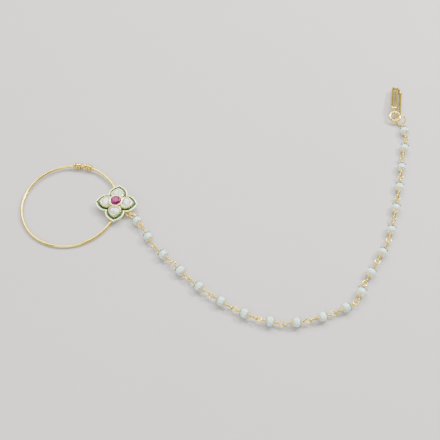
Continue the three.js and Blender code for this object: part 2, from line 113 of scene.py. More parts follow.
def linear(hex_colour):
    """An sRGB hex colour as linear red, green and blue."""
    parts = [int(hex_colour[i:i + 2], 16) / 255 for i in (1, 3, 5)]
    return tuple(c / 12.92 if c <= 0.04045 else ((c + 0.055) / 1.055) ** 2.4 for c in parts)


def tint(name, hex_colour, about):
    """A colour that the user can change."""
    return FloatVectorProperty(name=name, description=about, default=linear(hex_colour), size=3, min=0.0,
                               max=1.0, subtype="COLOR")


class NathHoop(bpy.types.PropertyGroup):
    """Sizes of the wire hoop and its two wound ends."""

    radius: size("Radius", 20, "From the hoop's middle to the middle of its wire")
    wire: size("Wire", 1.2, "Diameter of the hoop's wire")
    end_gap: size("End gap", 0.7, "Gap between the hoop's two ends")
    end_angle: turn("End angle", 79.5, "Where the gap is, counted from +X")
    coil_wire: size("Coil wire", 1.1, "Diameter of the wound wire")
    coil_turns: share("Coil turns", 2.4, "Turns of wire at each end")
    coil_pitch: size("Coil pitch", 1.18, "Distance between the turns")
    coil_tip: share("Coil tip", 0.4, "Turns over which an end thins")
    left_tip: share("Left tip", 0.35, "Further turns of the left wound end")
    coil_grip: size("Coil grip", 0.2, "How far it sinks into the solder")


class NathFlower(bpy.types.PropertyGroup):
    """Sizes of the flower, its enamel and its stones."""

    place_x: size("Place X", -43.4, "Flower's centre in the chain route's frame")
    place_y: size("Place Y", 6.6, "Flower's centre in the chain route's frame")
    angle: turn("Angle", -1, "Where the flower sits on the hoop, counted from +X")
    turn: turn("Turn", -4, "Turn about its own middle")
    reach: size("Petal reach", 9.1, "From the centre to a petal's tip")
    half_width: size("Petal half width", 4.15, "Half the width of a petal")
    notch: size("Notch radius", 5.4, "From the centre to a notch")
    tip_mitre: share("Tip mitre", 1.25, "How much further than a side a tip moves in")
    notch_mitre: share("Notch mitre", 1.3, "How much further than a side a notch moves in")
    solder: size("Solder depth", 0.15, "How far its back is let into the hoop's wire")
    floor: size("Cup floor", 0.6, "Thickness of the flower's back plate")
    rim_height: size("Rim height", 1.5, "Top of the outer rim above the flower's back")
    rim_wall: size("Rim wall", 0.42, "Thickness of the outer rim")
    undercut: size("Undercut", 0.4, "How far its back edge draws in under the rim")
    enamel_width: size("Enamel width", 0.78, "From rim to collar")
    enamel_below: size("Enamel depth", 0.12, "Enamel below the rim's top")
    collar_height: size("Collar height", 2.0, "Top of the stone collar at a petal's tip")
    collar_slope: share("Collar slope", 0.14, "Rise of the collar towards the centre")
    seat_gap: size("Seat gap", 0.08, "Clearance between a stone and its seat")
    stone_to_tip: size("Stone to tip", 3.2, "Gold between stone and petal's tip")
    stone_to_side: size("Stone to side", 2.15, "Gold between stone and petal's side")
    stone_to_bezel: size("Stone to bezel", 0.17, "Gold between stone and bezel")
    stone_proud: size("Petal stone height", 0.3, "Its table above its collar")
    centre_d: size("Centre stone", 4.4, "Diameter of the centre stone")
    centre_proud: size("Centre stone height", 0.55, "Its table above the bezel")
    bezel_wall: size("Bezel wall", 0.5, "Thickness of the bezel's wall")
    bezel_height: size("Bezel height", 3.5, "Top of the bezel above the flower's back")
    bezel_seat: size("Bezel seat", 1.8, "Floor of the bezel above the flower's back")


class NathChain(bpy.types.PropertyGroup):
    """Sizes of the beads, their links and the small ring beside the flower."""

    bead: size("Bead", 3.7, "Diameter of a bead")
    bore: size("Bore", 0.9, "Diameter of the hole through a bead")
    wire: size("Wire", 0.5, "Diameter of a link's wire")
    loop: size("Loop", 2.5, "Outer diameter of a link's loop")
    gap: size("Loop gap", 0.2, "Clearance of two loops that interlock")
    rise: size("Joint rise", 0.25, "Joints below and above a bead's middle")
    neck: size("Neck", 1.0, "Diameter of the neck between cap and loop")
    cap_reach: turn("Cap reach", 55, "A petal's reach from the bore")
    cap_notch: turn("Cap notch", 43, "The cap's reach between petals")
    cap_flare: size("Cap flare", 0.36, "A petal's tip off the bead")
    cap_thick: size("Cap thickness", 0.2, "Thickness of a cap")
    cap_petals: IntProperty(name="Cap petals", description="Petals of one cap", default=5, min=3,
                            subtype="UNSIGNED")
    eye_wire: size("Eye wire", 0.5, "Wire of the eye soldered to the flower")
    eye: size("Eye", 2.3, "Outer diameter of that eye")
    ring_wire: size("Small ring wire", 0.5, "Wire of the ring beside the flower")
    ring: size("Small ring", 2.7, "Outer diameter of that ring")
    ring_turn: turn("Small ring turn", -12, "Way that the ring's plane faces")
    ring_gap: size("Small ring gap", 0.24, "Clearance of that ring")


class NathHook(bpy.types.PropertyGroup):
    """Sizes of the hair hook and the large ring that carries it."""

    ring_wire: size("Large ring wire", 0.76, "Wire of the large ring")
    ring: size("Large ring", 5.4, "Outer diameter of the large ring")
    ring_lean: turn("Large ring lean", 60, "How steeply the large ring leans")
    ring_turn: turn("Large ring turn", -48, "Way from the hook's eye to the last bead")
    ring_gap: size("Large ring gap", 0.44, "Clearance of the large ring")
    wire: size("Hook wire", 1.2, "Diameter of the hook's wire")
    eye: size("Hook eye", 5.8, "Outer diameter of the hook's eye")
    eye_tilt: turn("Eye tilt", 9, "How steeply it leans back")
    eye_clear: size("Eye clearance", 0.66, "Room below it at the large ring")
    eye_inset: size("Eye inset", 0.2, "Where the right wire starts inside its edge")
    length: size("Hook length", 17.2, "From the eye's middle to the fold")
    pair_pitch: size("Pair pitch", 1.75, "Between the two wires of a pair")
    fold_gap: size("Fold gap", 0.65, "Air between back and front pair")
    fold_shift: size("Fold shift", 2.4, "Front pair's offset to the left")
    tip: size("Tip", 4.4, "Where the front pair's closed end is")
    turn: turn("Hook turn", 78.2, "Way from the eye to the fold")


class NathColours(bpy.types.PropertyGroup):
    """Colours of the jewel and of the floor it lies on."""

    gold: tint("Gold", "#F6E174", "Plated gold where it is polished")
    gold_deep: tint("Deep gold", "#E1C24A", "Plated gold where it is thin")
    foil: tint("Foil gold", "#F4F1B2", "Pale foil round the stones")
    foil_deep: tint("Deep foil gold", "#D2DA8C", "Foil gold in thinner places")
    # Painted shade: the colour that ambient occlusion mixes into the gold in recesses, between parts and
    # next to the floor
    recess: tint("Recess", "#41340A", "Dark residue in recesses")
    enamel: tint("Enamel", "#05491F", "Dark green enamel")
    enamel_deep: tint("Deep enamel", "#01230C", "Thicker places in the enamel")
    # Painted light: the stone colours below are spread over the facets by a painted brightness, from painted
    # shade through painted foil reflections to painted glints
    stone: tint("White stone", "#FFFFFF", "Lit facets of the foiled white stones")
    stone_mint: tint("White stone mint", "#8EDFBC", "Facets that show cool foil")
    stone_blush: tint("White stone blush", "#F0A8D0", "Facets that show warm foil")
    stone_shade: tint("White stone shade", "#7C9787", "Shaded facets of the white stones")
    ruby: tint("Ruby", "#92035E", "Lit facets of the centre stone")
    ruby_glint: tint("Ruby glint", "#E052AE", "Brightest facets of the centre stone")
    ruby_shade: tint("Ruby shade", "#380128", "Shaded facets of the centre stone")
    bead: tint("Bead", "#EAF8F4", "Milky beads")
    bead_cloud: tint("Bead cloud", "#A9DFD4", "Clouds in the beads")
    cap: tint("Cap", "#FBF2D4", "Pale gold of the petalled caps")
    cap_deep: tint("Deep cap", "#F0DBA0", "Caps in thinner places")
    floor: tint("Floor", "#C0BDBA", "Pale floor")


SETTINGS = (
    ("nath_hoop", NathHoop),
    ("nath_flower", NathFlower),
    ("nath_chain", NathChain),
    ("nath_hook", NathHook),
    ("nath_colours", NathColours),
)


# Materials

def add_node(tree, kind, values=(), links=(), feeds=()):
    """Adds a node: settings of it or its sockets, what its inputs come from, what its outputs feed."""
    node = tree.nodes.new(kind)
    for name, value in dict(values).items():
        if isinstance(name, str) and hasattr(node, name):
            setattr(node, name, value)
        else:
            node.inputs[name].default_value = value
    for socket, source in dict(links).items():
        tree.links.new(source, node.inputs[socket])
    for socket, target in dict(feeds).items():
        tree.links.new(node.outputs[socket], target)
    return node


def per_metre(millimetres):
    """Scale of a texture whose features are this many millimetres across."""
    return 1000 / millimetres


def opaque(rgb):
    """A colour with full alpha, as node sockets take it."""
    return (*rgb, 1.0)


def new_material(name, settings):
    """A node material with its shader set: its node tree, its shader and the piece's own coordinates."""
    material = bpy.data.materials.new(name)
    material.use_nodes = True
    tree = material.node_tree
    shader = next(n for n in tree.nodes if n.type == "BSDF_PRINCIPLED")
    for socket, value in settings.items():
        shader.inputs[socket].default_value = value
    place = add_node(tree, "ShaderNodeTexCoord").outputs["Object"]
    return material, tree, shader.inputs, place


def noise_share(tree, place, millimetres, low, high, detail=3):
    """A soft pattern with features of a given size, spread from 0 to 1 between two noise levels."""
    pattern = add_node(tree, "ShaderNodeTexNoise", {"Scale": per_metre(millimetres), "Detail": detail},
                       {"Vector": place})
    spread = add_node(tree, "ShaderNodeMapRange", {"From Min": low, "From Max": high},
                      {"Value": pattern.outputs["Fac"]})
    return spread.outputs["Result"]


def worn_gold(name, bright, deep, recess, roughness):
    """Metal deeper where it is thin, with painted shade in recesses and near other parts, finely worn all
    over.
    """
    material, tree, shader, place = new_material(name, {"Metallic": 1.0})
    plate = add_node(tree, "ShaderNodeMix", {"data_type": "RGBA", 6: opaque(deep), 7: opaque(bright)},
                     {0: noise_share(tree, place, 2.2, 0.3, 0.7)})
    # Painted shade: ambient occlusion darkens the base colour in recesses, between parts and next to the
    # floor
    shelter = add_node(tree, "ShaderNodeAmbientOcclusion", {"samples": 8, "Distance": 0.35 * MM})
    open_share = add_node(tree, "ShaderNodeMapRange", {"From Min": 0.1, "From Max": 0.55},
                          {"Value": shelter.outputs["AO"]})
    add_node(tree, "ShaderNodeMix", {"data_type": "RGBA", 6: opaque(recess)},
             {0: open_share.outputs["Result"], 7: plate.outputs[2]}, {2: shader["Base Color"]})
    add_node(tree, "ShaderNodeMapRange", {"To Min": roughness[0], "To Max": roughness[1]},
             {"Value": noise_share(tree, place, 0.5, 0.3, 0.7)}, {0: shader["Roughness"]})
    add_node(tree, "ShaderNodeBump", {"Distance": 0.015 * MM, "Strength": 0.5},
             {"Height": noise_share(tree, place, 0.45, 0.2, 0.8)}, {0: shader["Normal"]})
    return material


def plated_gold(colours):
    # Gold-plated brass, soldered, pickled and tumbled: warm and bright, with reflections that fine wear
    # blurs a little and painted shade where wires and petals meet
    return worn_gold("gold_plated_brass_tumbled", colours.gold, colours.gold_deep, colours.recess,
                     (0.1, 0.2))


def cap_gold(colours):
    # Thin stamped caps with a bright flash plate: paler than the wire, with a pale painted shade of deep
    # gold in recesses
    return worn_gold("gold_flashed_caps_stamped", colours.cap, colours.cap_deep, colours.gold_deep,
                     (0.3, 0.45))


def foil_gold(colours):
    # Pure gold foil pressed round the stones with a burnisher: paler than the plate, satin from the tool
    # Painted shade in its recesses, as in the plated gold
    return worn_gold("gold_foil_burnished", colours.foil, colours.foil_deep, colours.recess, (0.2, 0.34))


def green_enamel(colours):
    # Vitreous enamel, wet-laid and fired: glassy, darker where it pooled, with a faint orange-peel face
    material, tree, shader, place = new_material("vitreous_enamel_fired",
                                                 {"Roughness": 0.16, "Specular IOR Level": 0.3})
    add_node(tree, "ShaderNodeMix",
             {"data_type": "RGBA", 6: opaque(colours.enamel_deep), 7: opaque(colours.enamel)},
             {0: noise_share(tree, place, 1.6, 0.35, 0.65)}, {2: shader["Base Color"]})
    add_node(tree, "ShaderNodeBump", {"Distance": 0.02 * MM, "Strength": 0.4},
             {"Height": noise_share(tree, place, 0.6, 0.2, 0.8)}, {0: shader["Normal"]})
    return material


def foiled_stone(name, stops, feature_mm, glare):
    # Cut glass backed with foil, with painted light: each facet carries its own painted brightness, some lit
    # and some dark, mixed with a soft noise, under a glassy polished face
    material, tree, shader, place = new_material(name, {"Roughness": 0.04, "IOR": 1.52,
                                                        "Specular IOR Level": glare})
    facet = add_node(tree, "ShaderNodeAttribute", {"attribute_name": FACET_LIGHT})
    foil = add_node(tree, "ShaderNodeMix", {"data_type": "FLOAT", 0: 0.5},
                    {2: facet.outputs["Fac"], 3: noise_share(tree, place, feature_mm, 0.38, 0.62, detail=0)})
    shown = add_node(tree, "ShaderNodeValToRGB", {}, {0: foil.outputs[0]}, {0: shader["Base Color"]})
    ramp = shown.color_ramp
    while len(ramp.elements) < len(stops):
        ramp.elements.new(0.5)
    for element, (position, colour) in zip(ramp.elements, stops):
        element.position = position
        element.color = opaque(colour)
    return material


def white_stone(colours):
    # Colourless glass over silvered foil: mostly white, with painted mint and blush reflections and painted
    # grey-green shade on some facets
    stops = ((0.0, colours.stone_shade), (0.26, colours.stone_mint), (0.42, colours.stone),
             (0.58, colours.stone), (0.8, colours.stone_blush))
    return foiled_stone("foiled_white_glass_cut", stops, 2.0, 0.4)


def ruby_stone(colours):
    # Ruby-coloured glass over foil: a dark middle tone, with painted shade and a few painted bright glints
    # on its facets
    stops = ((0.0, colours.ruby_shade), (0.55, colours.ruby), (0.8, colours.ruby),
             (0.95, colours.ruby_glint))
    return foiled_stone("foiled_ruby_glass_cut", stops, 1.1, 0.2)


def milky_bead(colours):
    # Milky chalcedony, tumbled round: pale green-white with clouds inside and a waxy polish
    material, tree, shader, place = new_material(
        "milky_chalcedony_polished", {"IOR": 1.54, "Subsurface Weight": 0.25, "Subsurface Scale": 0.5 * MM,
                                      "Subsurface Radius": (1.0, 1.0, 0.9)})
    add_node(tree, "ShaderNodeMix",
             {"data_type": "RGBA", 6: opaque(colours.bead_cloud), 7: opaque(colours.bead)},
             {0: noise_share(tree, place, 0.9, 0.38, 0.62, detail=5)}, {2: shader["Base Color"]})
    add_node(tree, "ShaderNodeMapRange", {"To Min": 0.1, "To Max": 0.22},
             {"Value": noise_share(tree, place, 0.8, 0.3, 0.7)}, {0: shader["Roughness"]})
    return material


def pale_floor(colours):
    # Matt paper-smooth studio floor: one pale colour with a very soft, broad variation
    material, tree, shader, place = new_material("studio_floor_matt",
                                                 {"Roughness": 0.75, "Specular IOR Level": 0.2})
    darker = [0.97 * c for c in colours.floor]
    add_node(tree, "ShaderNodeMix", {"data_type": "RGBA", 6: opaque(darker), 7: opaque(colours.floor)},
             {0: noise_share(tree, place, 60, 0.2, 0.8)}, {2: shader["Base Color"]})
    return material


# What makes the material of each kind of surface
MAKERS = {
    "gold": plated_gold,
    "enamel": green_enamel,
    "foil": foil_gold,
    "cap": cap_gold,
    "clear_stone": white_stone,
    "ruby": ruby_stone,
    "bead": milky_bead,
    "floor": pale_floor,
}


def material_for(kind):
    """The material of one kind of surface, made once."""
    scene = bpy.context.scene
    key = "nath_material_" + kind
    if key not in scene:
        scene[key] = MAKERS[kind](scene.nath_colours)
    return scene[key]


# Shapes

# Vertices closer than this are one
WELD = 0.001 * MM


def new_object(name, bm, surface):
    """An object in the scene with a bmesh's shape and one material."""
    mesh = bpy.data.meshes.new(name)
    bm.to_mesh(mesh)
    bm.free()
    mesh.materials.append(material_for(surface))
    made = bpy.data.objects.new(name, mesh)
    bpy.context.scene.collection.objects.link(made)
    return made


def finished_piece(name, slot, nodes, make, *sizes, crease=35, surface=None):
    """Makes a mesh and turns it into a piece that rides on the jewel and stands for its CAD nodes."""
    bm = bmesh.new()
    make(bm, *sizes)
    bmesh.ops.remove_doubles(bm, verts=bm.verts, dist=WELD)
    bmesh.ops.recalc_face_normals(bm, faces=bm.faces)
    piece = new_object(name, bm, surface or slot)
    for face in piece.data.polygons:
        face.use_smooth = True
    piece.data.set_sharp_from_angle(angle=math.radians(crease))
    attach(piece, BODY)
    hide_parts(*nodes)


def closed_pairs(row):
    """Neighbours in a closed row, the last with the first."""
    return zip(row, row[1:] + row[:1])


def extruded_row(bm, row, places):
    """Extrudes a closed row of vertices and puts each new vertex at its place."""
    edges = [bm.edges.get(pair) for pair in closed_pairs(row)]
    made = bmesh.ops.extrude_edge_only(bm, edges=edges)["geom"]
    fresh = {v for v in made if isinstance(v, bmesh.types.BMVert)}
    new_row = []
    for vert, place in zip(row, places):
        twin = next(e.other_vert(vert) for e in vert.link_edges if e.other_vert(vert) in fresh)
        twin.co = place
        new_row.append(twin)
    return new_row


def lofted(bm, rows, joined=False):
    """A skin through rows of places. Its two ends are closed with a face each, or joined together."""
    start = [bm.verts.new(place) for place in rows[0]]
    for pair in closed_pairs(start):
        bm.edges.new(pair)
    if not joined:
        bm.faces.new(start)
    row = start
    for places in rows[1:]:
        row = extruded_row(bm, row, places)
    if joined:
        ends = [bm.edges.get(pair) for end in (start, row) for pair in closed_pairs(end)]
        bmesh.ops.bridge_loops(bm, edges=ends)
    else:
        bm.faces.new(row)


def ring_places(matrix, radius, sides):
    """A circle of places in a frame's XY plane."""
    steps = (i / sides * math.tau for i in range(sides))
    return [matrix @ Vector((radius * math.cos(a), radius * math.sin(a), 0)) for a in steps]


def wire_frames(line):
    """Frames along a line of places: Z along the wire, with the least twist from one to the next."""
    frames = []
    turned = None
    for before, place, after in zip(line[:1] + line, line, line[1:] + line[-1:]):
        way = (after - before).normalized()
        if turned:
            turned = (turned @ Vector((0, 0, 1))).rotation_difference(way) @ turned
        else:
            turned = way.to_track_quat("Z", "Y")
        frames.append(Matrix.Translation(place) @ turned.to_matrix().to_4x4())
    return frames


def wire_tip(frame_at, radius, sides, rows, way):
    """Rows of a wire's rounded end, from the wire outwards."""
    places = []
    for k in range(1, rows + 1):
        a = k / (rows + 0.5) * math.pi / 2
        moved = frame_at @ Matrix.Translation((0, 0, way * radius * math.sin(a)))
        places.append(ring_places(moved, radius * math.cos(a), sides))
    return places


def bent_wire(bm, line, diameter, sides=20, tip_rows=4, thinning=0):
    """A round wire along a line of places, with rounded ends. Over its last places it may thin by half."""
    frames = wire_frames(line)
    radii = [diameter / 2] * len(line)
    for k in range(thinning):
        radii[k - thinning] *= 1 - 0.5 * (k + 1) / thinning
    rows = wire_tip(frames[0], radii[0], sides, tip_rows, -1)[::-1]
    rows += [ring_places(frame_at, radius, sides) for frame_at, radius in zip(frames, radii)]
    rows += wire_tip(frames[-1], radii[-1], sides, tip_rows, 1)
    lofted(bm, rows)


def spun(bm, matrix, verts, edges, steps):
    """Spins a section once round a frame's Z axis."""
    bmesh.ops.spin(bm, geom=verts + edges, cent=matrix.translation,
                   axis=matrix.col[2].to_3d().normalized(), angle=math.tau, steps=steps, use_merge=True)


def wire_ring(bm, matrix, outer, wire, steps=48, sides=18):
    """A closed ring of round wire in a frame's XY plane, spun from one section."""
    radius = (outer - wire) / 2
    section = matrix @ Matrix.Translation((radius, 0, 0)) @ Matrix.Rotation(math.pi / 2, 4, "X")
    verts = bmesh.ops.create_circle(bm, segments=sides, radius=wire / 2, matrix=section)["verts"]
    edges = list(dict.fromkeys(e for v in verts for e in v.link_edges))
    spun(bm, matrix, verts, edges, steps)


def lathed(bm, matrix, profile, steps):
    """Spins a profile of (radius, height) about a frame's Z axis. Radius 0 closes on the axis."""
    verts = [bm.verts.new(matrix @ Vector((radius, 0, height))) for radius, height in profile]
    spun(bm, matrix, verts, [bm.edges.new(pair) for pair in zip(verts, verts[1:])], steps)


def bezier(points, steps):
    """Places along one Bezier curve of three or four points, both ends included."""
    places = []
    for i in range(steps + 1):
        row = [Vector(p) for p in points]
        while len(row) > 1:
            row = [a.lerp(b, i / steps) for a, b in zip(row, row[1:])]
        places.append(row[0])
    return places


def lifted(places, height):
    """Flat places at a height."""
    return [Vector((p[0], p[1], height)) for p in places]


def quarter(steps):
    """Angles of a quarter turn, both ends included."""
    return [k / steps * math.pi / 2 for k in range(steps + 1)]


def heading(angle):
    """A level direction, counted from +X."""
    return Vector((math.cos(angle), math.sin(angle), 0))


# Where things are

def hoop_place(hoop, at, offset=0.0, height=0.0):
    """A place on the hoop's wire, at an angle, an offset outwards and a height."""
    reach = hoop.radius + offset
    return Vector((reach * math.cos(at), reach * math.sin(at), height))


def coil_radius(hoop):
    """From the hoop's wire to the middle of the wound wire."""
    return (hoop.wire + hoop.coil_wire) / 2 - hoop.coil_grip


def route_frame():
    """From the chain route's frame to the model's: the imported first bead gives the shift."""
    joints = chain_joints()
    low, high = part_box("bead_01")
    return Matrix.Translation((low + high) / 2 - (joints[0] + joints[1]) / 2)


def hoop_frame():
    """The hoop's frame: it leans on its wound ends, which are thicker than its wire."""
    hoop = bpy.context.scene.nath_hoop
    flower = bpy.context.scene.nath_flower
    high_side = coil_radius(hoop) + hoop.coil_wire / 2 - hoop.wire / 2
    lean = math.atan2(high_side, 2 * hoop.radius)
    axis = heading(hoop.end_angle - math.pi / 2)
    centre = Vector((flower.place_x, flower.place_y, 0)) - hoop_place(hoop, flower.angle)
    centre.z = hoop.wire / 2 + hoop.radius * math.sin(lean)
    return route_frame() @ Matrix.Translation(centre) @ Matrix.Rotation(lean, 4, axis)


def flower_frame():
    """The flower's frame: its flat back rests on the hoop's wire."""
    hoop = bpy.context.scene.nath_hoop
    flower = bpy.context.scene.nath_flower
    seat = hoop_place(hoop, flower.angle, 0, hoop.wire / 2 - flower.solder)
    return hoop_frame() @ Matrix.Translation(seat) @ Matrix.Rotation(flower.turn, 4, "Z")


def chain_joints():
    """Joints in the route's frame. Low and high joints take turns, so every bead touches the floor."""
    chain = bpy.context.scene.nath_chain
    rises = (-chain.rise, chain.rise)
    return [Vector((x * MM, y * MM, chain.bead / 2 + rises[i % 2]))
            for i, (x, y, _, _) in enumerate(CHAIN_ROUTE)]


def frame_along(start, end, roll=0.0):
    """A frame with X from one place to another and Z as near to up as it can be, then rolled."""
    x = (end - start).normalized()
    y = Vector((0, 0, 1)).cross(x).normalized()
    z = x.cross(y)
    basis = Matrix((x, y, z)).transposed().to_4x4()
    return basis @ Matrix.Rotation(roll, 4, "X")


def overreach(one_wire, other_wire, gap):
    """How far beyond a joint the middle of an interlocked wire lies."""
    return ((one_wire + other_wire) / 2 + gap) / 2


def placed(basis, place):
    """A frame moved to a place."""
    return Matrix.Translation(place) @ basis


def small_ring_places():
    """The small ring's centre, and where it meets the eye, in the route's frame."""
    chain = bpy.context.scene.nath_chain
    radius = (chain.ring - chain.ring_wire) / 2
    way = heading(chain.ring_turn)
    to_loop = overreach(chain.ring_wire, chain.wire, chain.ring_gap)
    to_eye = overreach(chain.ring_wire, chain.eye_wire, chain.ring_gap)
    centre = chain_joints()[0] + way * (to_loop - radius)
    return centre, centre + way * (to_eye - radius)


def large_ring_offset(end, height, overlap):
    """From the large ring's centre to a joint that sits lower on it, at one end or the other."""
    hook = bpy.context.scene.nath_hook
    radius = (hook.ring - hook.ring_wire) / 2
    centre_height = hook.ring_wire / 2 + radius * math.sin(hook.ring_lean)
    drop = (height - centre_height) / math.sin(hook.ring_lean)
    along = math.sqrt((radius - overlap) ** 2 - drop ** 2)
    way = heading(hook.ring_turn)
    left = Vector((0, 0, 1)).cross(way)
    return (Vector((0, 0, height - centre_height)) + way * (end * along)
            + left * (drop * math.cos(hook.ring_lean)))


def large_ring_centre():
    """The large ring's centre in the route's frame."""
    hook = bpy.context.scene.nath_hook
    chain = bpy.context.scene.nath_chain
    last = chain_joints()[-1]
    return last - large_ring_offset(1, last.z, overreach(hook.ring_wire, chain.wire, hook.ring_gap))


def hook_frames():
    """Frames of the hook and of its eye, with one origin. The hook's X axis runs towards the fold."""
    hook = bpy.context.scene.nath_hook
    radius = (hook.eye - hook.wire) / 2
    height = hook.ring_wire + hook.eye_clear + hook.wire / 2
    beyond = overreach(hook.ring_wire, hook.wire, hook.ring_gap)
    way = heading(hook.ring_turn)
    place = large_ring_centre() + large_ring_offset(-1, height, beyond) + way * (beyond - radius)
    place.z -= radius * math.sin(hook.eye_tilt) * math.cos(hook.ring_turn - hook.turn)
    pitch = math.asin((place.z - hook.wire / 2) / hook.length)
    turned = Matrix.Rotation(hook.turn, 4, "Z")
    whole = turned @ Matrix.Rotation(pitch, 4, "Y")
    tilted = turned @ Matrix.Rotation(-hook.eye_tilt, 4, "Y")
    return [route_frame() @ placed(basis, place) for basis in (whole, tilted)]


# Hoop

def hoop_wire_mesh(bm, matrix, hoop):
    """The hoop's wire from one side of the gap round to the other, a little uneven."""
    steps, most = 200, 0.05 * MM
    half_gap = hoop.end_gap / 2 / hoop.radius
    sweep = math.tau - 2 * half_gap
    line = []
    for i in range(steps + 1):
        at = hoop.end_angle + half_gap + sweep * i / steps
        waver = most * math.sin(3 * at) * math.sin(math.pi * i / steps)
        line.append(matrix @ hoop_place(hoop, at, waver))
    bent_wire(bm, line, hoop.wire, sides=24)


def wound_end_mesh(bm, matrix, hoop, side):
    """One wound end: the drawn-down wire turns round the hoop, away from the gap."""
    steps_per_turn = 28
    radius = coil_radius(hoop)
    first = hoop.end_gap / 2 + hoop.coil_wire / 2
    total = hoop.coil_turns + (hoop.left_tip if side > 0 else 0)
    line = []
    for i in range(round(total * steps_per_turn) + 1):
        turns = i / steps_per_turn
        at = hoop.end_angle + side * (first + turns * hoop.coil_pitch) / hoop.radius
        roll = side * (turns * math.tau - math.pi / 2)
        line.append(matrix @ hoop_place(hoop, at, radius * math.cos(roll), radius * math.sin(roll)))
    bent_wire(bm, line, hoop.coil_wire, sides=18, thinning=round(hoop.coil_tip * steps_per_turn))


def hoop_mesh(bm, matrix, hoop):
    """The hoop's wire and both of its wound ends."""
    hoop_wire_mesh(bm, matrix, hoop)
    for side in (-1, 1):
        wound_end_mesh(bm, matrix, hoop, side)


# Flower

def petal_outline(flower, margin, lobe_steps=14, flick_steps=6):
    """Outline of the whole flower, set inwards by a margin. Its first place is a notch."""
    reach = flower.reach - flower.tip_mitre * margin
    width = flower.half_width - margin
    notch = (flower.notch - flower.notch_mitre * margin) * math.sqrt(0.5)

    def place(shares):
        return Vector((shares[0] * reach, shares[1] * width))

    lobe = bezier([Vector((notch, notch)), *map(place, LOBE_SHARES)], lobe_steps)
    flick = bezier([place(LOBE_SHARES[-1]), *map(place, FLICK_SHARES)], flick_steps)
    half = lobe + flick[1:]
    petal = [Vector((p.x, -p.y)) for p in half] + half[1:-1][::-1]
    return [Matrix.Rotation(k / PETALS * math.tau, 2) @ p for k in range(PETALS) for p in petal]


def drop_outline(flower, margin, steps=6):
    """Outline of a petal stone, which points at the petal's tip. Its first place is the point."""
    inner = flower.centre_d / 2 + flower.seat_gap + flower.bezel_wall + flower.stone_to_bezel - margin
    outer = flower.reach - flower.stone_to_tip + 1.5 * margin
    half = flower.half_width - flower.stone_to_side + margin
    widest, shoulder = 0.45, 0.22
    long = outer - inner
    side = (inner + widest * long, half)
    front = bezier([(outer, 0), (outer - shoulder * long, half), side], steps)
    back = bezier([side, (inner, half), (inner, 0)], steps)
    upper = front + back[1:]
    return upper + [Vector((p.x, -p.y)) for p in upper[1:-1][::-1]]


def middle_of(outline):
    """The middle of an outline that lies along X from its first place."""
    return Vector(((outline[0].x + min(p.x for p in outline)) / 2, 0))


def collar_top(flower, reach):
    """Height of the collar at a distance from the flower's centre."""
    return flower.collar_height + flower.collar_slope * (flower.reach - reach)


def flower_rows(matrix, flower, rows):
    """The flower's outline at each of some rows of (margin, height)."""
    return [[matrix @ p for p in lifted(petal_outline(flower, margin), height)] for margin, height in rows]


def cup_mesh(bm, matrix, flower):
    """The flat back plate with its outer rim, rounded along the top."""
    top = flower.rim_height
    wall = flower.rim_wall
    bend, undercut_rise = 0.32 * wall, 0.7 * top
    rows = [(flower.undercut * (1 - math.sin(a)), undercut_rise * (1 - math.cos(a)))
            for a in quarter(6)]
    rows.append((0, top - bend))
    rows += [(bend * (1 - math.cos(a)), top - bend * (1 - math.sin(a))) for a in quarter(3)[1:]]
    rows += [(wall - bend * (1 - math.sin(a)), top - bend * (1 - math.cos(a))) for a in quarter(3)]
    rows.append((wall, flower.floor))
    lofted(bm, flower_rows(matrix, flower, rows))


# A collar's section from enamel to stone. Columns: share of its width, share of its rise (-1: cup's floor)
COLLAR_SECTION = ((0, -1.0), (0, 0.0), (0.05, 0.34), (0.14, 0.62), (0.27, 0.84), (0.43, 0.96),
                  (0.6, 1.0), (0.78, 0.98), (0.92, 0.86), (1.0, 0.55), (1.0, -1.0))


def collar_mesh(bm, matrix, flower, petal):
    """The burnished gold round one petal stone: a soft crest between the enamel and the stone."""
    turned = matrix @ Matrix.Rotation(petal / PETALS * math.tau, 4, "Z")
    outline = petal_outline(flower, flower.rim_wall + flower.enamel_width)
    outline = outline[:len(outline) // PETALS + 1]
    under_bezel = 0.9
    hub = under_bezel * (flower.centre_d / 2 + flower.seat_gap)
    arc = [Vector((hub * math.cos(a), hub * math.sin(a))) for a in (math.pi / 4 - b for b in quarter(8))]
    spokes = [[start.lerp(end, k / 5) for k in range(1, 5)]
              for start, end in ((outline[-1], arc[0]), (arc[-1], outline[0]))]
    outer = outline + spokes[0] + arc + spokes[1]
    inner = around_drop(flower, outer)
    low = flower.rim_height - flower.enamel_below
    rows = []
    for along, rise in COLLAR_SECTION:
        row = []
        for a, b in zip(outer, inner):
            p = a.lerp(b, along)
            top = collar_top(flower, p.length)
            height = low + (top - low) * rise if rise >= 0 else flower.floor / 2
            row.append(turned @ Vector((p.x, p.y, height)))
        rows.append(row)
    lofted(bm, rows, joined=True)


def collars_mesh(bm, matrix, flower):
    """The collars of all petals."""
    for petal in range(PETALS):
        collar_mesh(bm, matrix, flower, petal)


def around_drop(flower, outer):
    """For each place of an outline round a petal stone's seat, the seat's place in the same direction."""
    seat = drop_outline(flower, flower.seat_gap, steps=24)
    middle = middle_of(seat)
    found = []
    for place in outer:
        way = (place - middle).normalized()
        found.append(max(seat, key=lambda p: (p - middle).normalized().dot(way)).copy())
    return found


